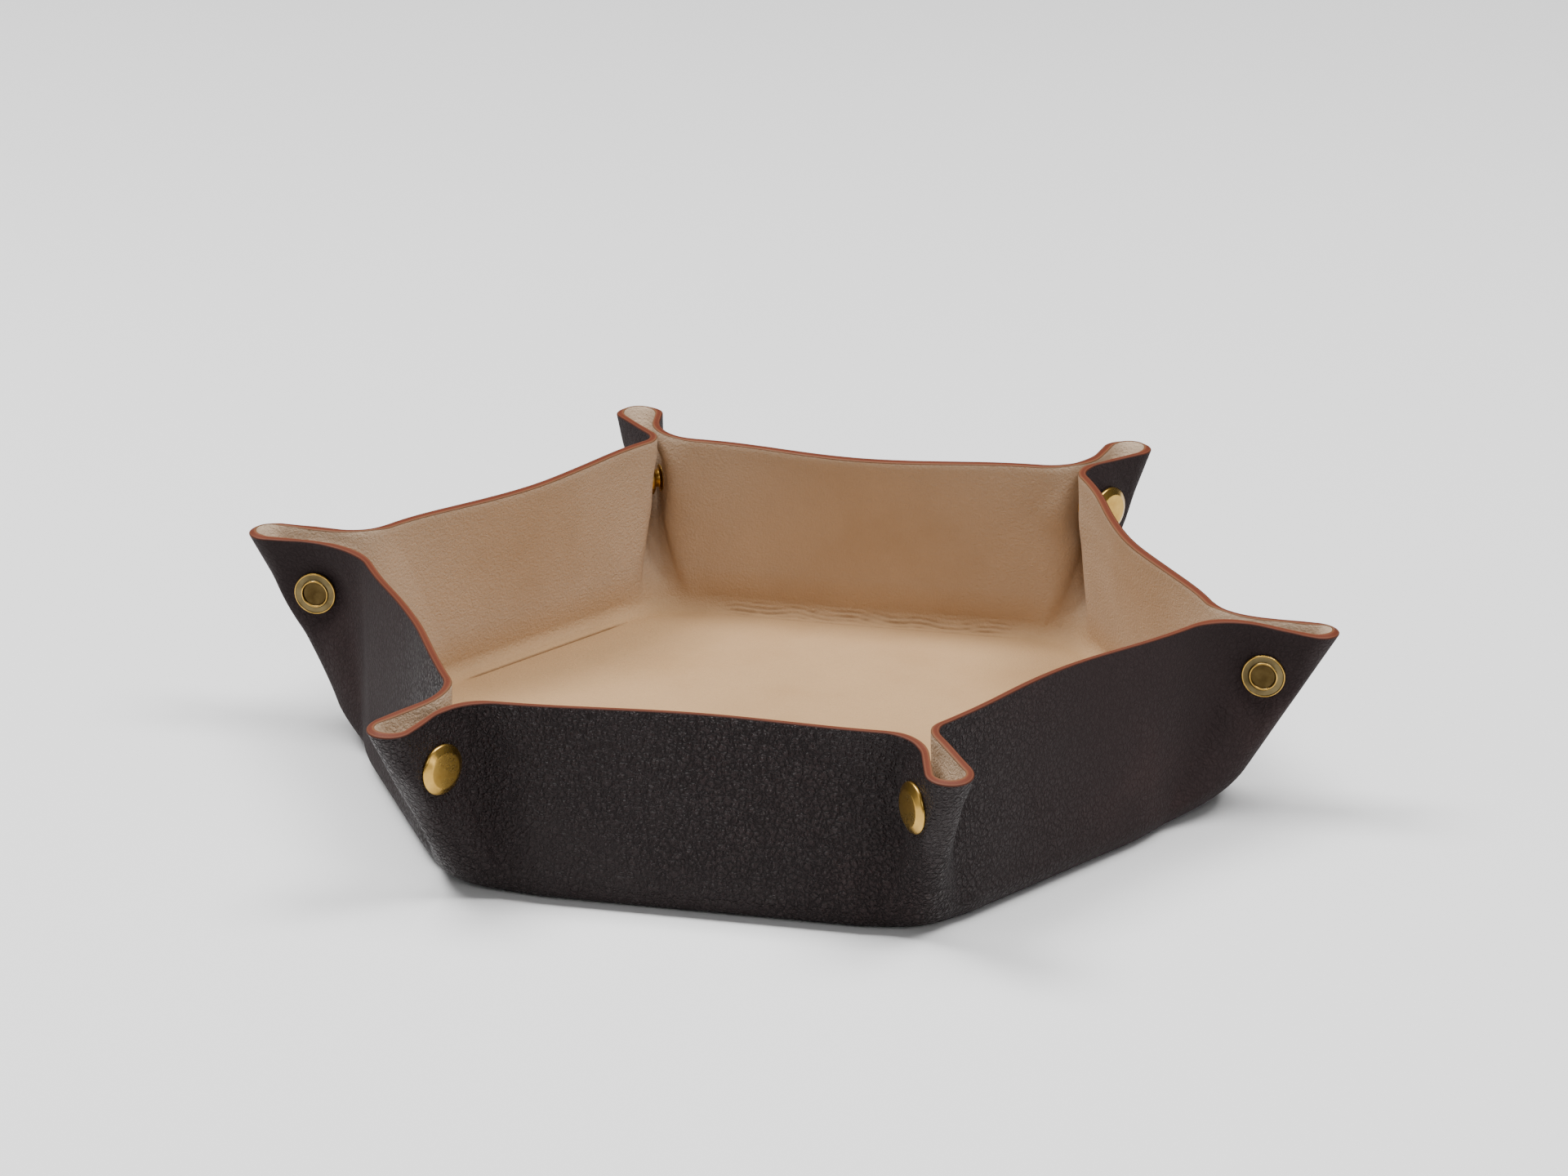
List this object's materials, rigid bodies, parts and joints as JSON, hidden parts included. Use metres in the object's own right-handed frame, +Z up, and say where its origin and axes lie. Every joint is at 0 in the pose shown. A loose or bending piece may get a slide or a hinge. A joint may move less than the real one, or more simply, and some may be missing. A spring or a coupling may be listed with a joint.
{
  "type": "valet tray",
  "caption": "Hexagonal lined leather tray whose creased walls are pinched into ears at the corners by brass snaps and fold out flat when the snaps are undone.",
  "frame": {"origin": "centre of the floor's underside on the table plane", "axes": "+Z up out of the tray, -Y through the middle of the front wall, +X through the right corner ear"},
  "size_m": [0.2704, 0.2358, 0.0486],
  "materials": {
    "outer_leather": "satin pebbled grain",
    "lining": "matt fine grain",
    "brass": "polished",
    "antique_brass": "antique"
  },
  "bodies": {
    "floor": {"floor_outer": "outer_leather", "floor_lining": "lining"},
    "wall_front": {"wall_front_outer": "outer_leather", "wall_front_lining": "lining"},
    "ear_front_left": {"ear_front_left_outer": "outer_leather", "ear_front_left_lining": "lining", "snap_cap_front_left": "brass", "snap_socket_front_left": "brass"},
    "ear_front_right": {"ear_front_right_outer": "outer_leather", "ear_front_right_lining": "lining", "snap_cap_front_right": "brass", "snap_socket_front_right": "brass"},
    "wall_right_front": {"wall_right_front_outer": "outer_leather", "wall_right_front_lining": "lining"},
    "ear_right_front_left": {"ear_right_front_left_outer": "outer_leather", "ear_right_front_left_lining": "lining", "snap_stud_right_front_left": "antique_brass"},
    "ear_right_front_right": {"ear_right_front_right_outer": "outer_leather", "ear_right_front_right_lining": "lining", "snap_stud_right_front_right": "antique_brass"},
    "wall_right_back": {"wall_right_back_outer": "outer_leather", "wall_right_back_lining": "lining"},
    "ear_right_back_left": {"ear_right_back_left_outer": "outer_leather", "ear_right_back_left_lining": "lining", "snap_cap_right_back_left": "brass", "snap_socket_right_back_left": "brass"},
    "ear_right_back_right": {"ear_right_back_right_outer": "outer_leather", "ear_right_back_right_lining": "lining", "snap_cap_right_back_right": "brass", "snap_socket_right_back_right": "brass"},
    "wall_back": {"wall_back_outer": "outer_leather", "wall_back_lining": "lining"},
    "ear_back_left": {"ear_back_left_outer": "outer_leather", "ear_back_left_lining": "lining", "snap_stud_back_left": "antique_brass"},
    "ear_back_right": {"ear_back_right_outer": "outer_leather", "ear_back_right_lining": "lining", "snap_stud_back_right": "antique_brass"},
    "wall_left_back": {"wall_left_back_outer": "outer_leather", "wall_left_back_lining": "lining"},
    "ear_left_back_left": {"ear_left_back_left_outer": "outer_leather", "ear_left_back_left_lining": "lining", "snap_cap_left_back_left": "brass", "snap_socket_left_back_left": "brass"},
    "ear_left_back_right": {"ear_left_back_right_outer": "outer_leather", "ear_left_back_right_lining": "lining", "snap_cap_left_back_right": "brass", "snap_socket_left_back_right": "brass"},
    "wall_left_front": {"wall_left_front_outer": "outer_leather", "wall_left_front_lining": "lining"},
    "ear_left_front_left": {"ear_left_front_left_outer": "outer_leather", "ear_left_front_left_lining": "lining", "snap_stud_left_front_left": "antique_brass"},
    "ear_left_front_right": {"ear_left_front_right_outer": "outer_leather", "ear_left_front_right_lining": "lining", "snap_stud_left_front_right": "antique_brass"}
  },
  "joints": [
    {"name": "fold_front", "type": "hinge", "parent": "floor", "child": "wall_front", "pos_m": [0, -0.09671, 0.00199], "axis": [1, 0, 0], "range_deg": [0, 90]},
    {"name": "unfold_front_left", "type": "hinge", "parent": "wall_front", "child": "ear_front_left", "pos_m": [-0.0461, -0.09516, 0.00332], "axis": [0.0941, -0.0341, -0.995], "range_deg": [0, 55.35]},
    {"name": "unfold_front_right", "type": "hinge", "parent": "wall_front", "child": "ear_front_right", "pos_m": [0.0461, -0.09516, 0.00332], "axis": [0.0941, 0.0341, 0.995], "range_deg": [0, 55.35]},
    {"name": "fold_right_front", "type": "hinge", "parent": "floor", "child": "wall_right_front", "pos_m": [0.08376, -0.04836, 0.00199], "axis": [0.5, 0.866, 0], "range_deg": [0, 90]},
    {"name": "unfold_right_front_left", "type": "hinge", "parent": "wall_right_front", "child": "ear_right_front_left", "pos_m": [0.05936, -0.08751, 0.00332], "axis": [0.0766, 0.0645, -0.995], "range_deg": [0, 55.35]},
    {"name": "unfold_right_front_right", "type": "hinge", "parent": "wall_right_front", "child": "ear_right_front_right", "pos_m": [0.10546, -0.00766, 0.00332], "axis": [0.0176, 0.0986, 0.995], "range_deg": [0, 55.35]},
    {"name": "fold_right_back", "type": "hinge", "parent": "floor", "child": "wall_right_back", "pos_m": [0.08376, 0.04836, 0.00199], "axis": [-0.5, 0.866, 0], "range_deg": [0, 90]},
    {"name": "unfold_right_back_left", "type": "hinge", "parent": "wall_right_back", "child": "ear_right_back_left", "pos_m": [0.10546, 0.00766, 0.00332], "axis": [-0.0176, 0.0986, -0.995], "range_deg": [0, 55.35]},
    {"name": "unfold_right_back_right", "type": "hinge", "parent": "wall_right_back", "child": "ear_right_back_right", "pos_m": [0.05936, 0.08751, 0.00332], "axis": [-0.0766, 0.0645, 0.995], "range_deg": [0, 55.35]},
    {"name": "fold_back", "type": "hinge", "parent": "floor", "child": "wall_back", "pos_m": [0, 0.09671, 0.00199], "axis": [-1, 0, 0], "range_deg": [0, 90]},
    {"name": "unfold_back_left", "type": "hinge", "parent": "wall_back", "child": "ear_back_left", "pos_m": [0.0461, 0.09516, 0.00332], "axis": [-0.0941, 0.0341, -0.995], "range_deg": [0, 55.35]},
    {"name": "unfold_back_right", "type": "hinge", "parent": "wall_back", "child": "ear_back_right", "pos_m": [-0.0461, 0.09516, 0.00332], "axis": [-0.0941, -0.0341, 0.995], "range_deg": [0, 55.35]},
    {"name": "fold_left_back", "type": "hinge", "parent": "floor", "child": "wall_left_back", "pos_m": [-0.08376, 0.04836, 0.00199], "axis": [-0.5, -0.866, 0], "range_deg": [0, 90]},
    {"name": "unfold_left_back_left", "type": "hinge", "parent": "wall_left_back", "child": "ear_left_back_left", "pos_m": [-0.05936, 0.08751, 0.00332], "axis": [-0.0766, -0.0645, -0.995], "range_deg": [0, 55.35]},
    {"name": "unfold_left_back_right", "type": "hinge", "parent": "wall_left_back", "child": "ear_left_back_right", "pos_m": [-0.10546, 0.00766, 0.00332], "axis": [-0.0176, -0.0986, 0.995], "range_deg": [0, 55.35]},
    {"name": "fold_left_front", "type": "hinge", "parent": "floor", "child": "wall_left_front", "pos_m": [-0.08376, -0.04836, 0.00199], "axis": [0.5, -0.866, 0], "range_deg": [0, 90]},
    {"name": "unfold_left_front_left", "type": "hinge", "parent": "wall_left_front", "child": "ear_left_front_left", "pos_m": [-0.10546, -0.00766, 0.00332], "axis": [0.0176, -0.0986, -0.995], "range_deg": [0, 55.35]},
    {"name": "unfold_left_front_right", "type": "hinge", "parent": "wall_left_front", "child": "ear_left_front_right", "pos_m": [-0.05936, -0.08751, 0.00332], "axis": [0.0766, -0.0645, 0.995], "range_deg": [0, 55.35]}
  ],
  "couplings": [
    {"joint": "unfold_front_left", "follows": "fold_front", "ratio": 0.61498},
    {"joint": "unfold_front_right", "follows": "fold_front", "ratio": 0.61498},
    {"joint": "fold_right_front", "follows": "fold_front", "ratio": 1},
    {"joint": "unfold_right_front_left", "follows": "fold_front", "ratio": 0.61498},
    {"joint": "unfold_right_front_right", "follows": "fold_front", "ratio": 0.61498},
    {"joint": "fold_right_back", "follows": "fold_front", "ratio": 1},
    {"joint": "unfold_right_back_left", "follows": "fold_front", "ratio": 0.61498},
    {"joint": "unfold_right_back_right", "follows": "fold_front", "ratio": 0.61498},
    {"joint": "fold_back", "follows": "fold_front", "ratio": 1},
    {"joint": "unfold_back_left", "follows": "fold_front", "ratio": 0.61498},
    {"joint": "unfold_back_right", "follows": "fold_front", "ratio": 0.61498},
    {"joint": "fold_left_back", "follows": "fold_front", "ratio": 1},
    {"joint": "unfold_left_back_left", "follows": "fold_front", "ratio": 0.61498},
    {"joint": "unfold_left_back_right", "follows": "fold_front", "ratio": 0.61498},
    {"joint": "fold_left_front", "follows": "fold_front", "ratio": 1},
    {"joint": "unfold_left_front_left", "follows": "fold_front", "ratio": 0.61498},
    {"joint": "unfold_left_front_right", "follows": "fold_front", "ratio": 0.61498}
  ]
}
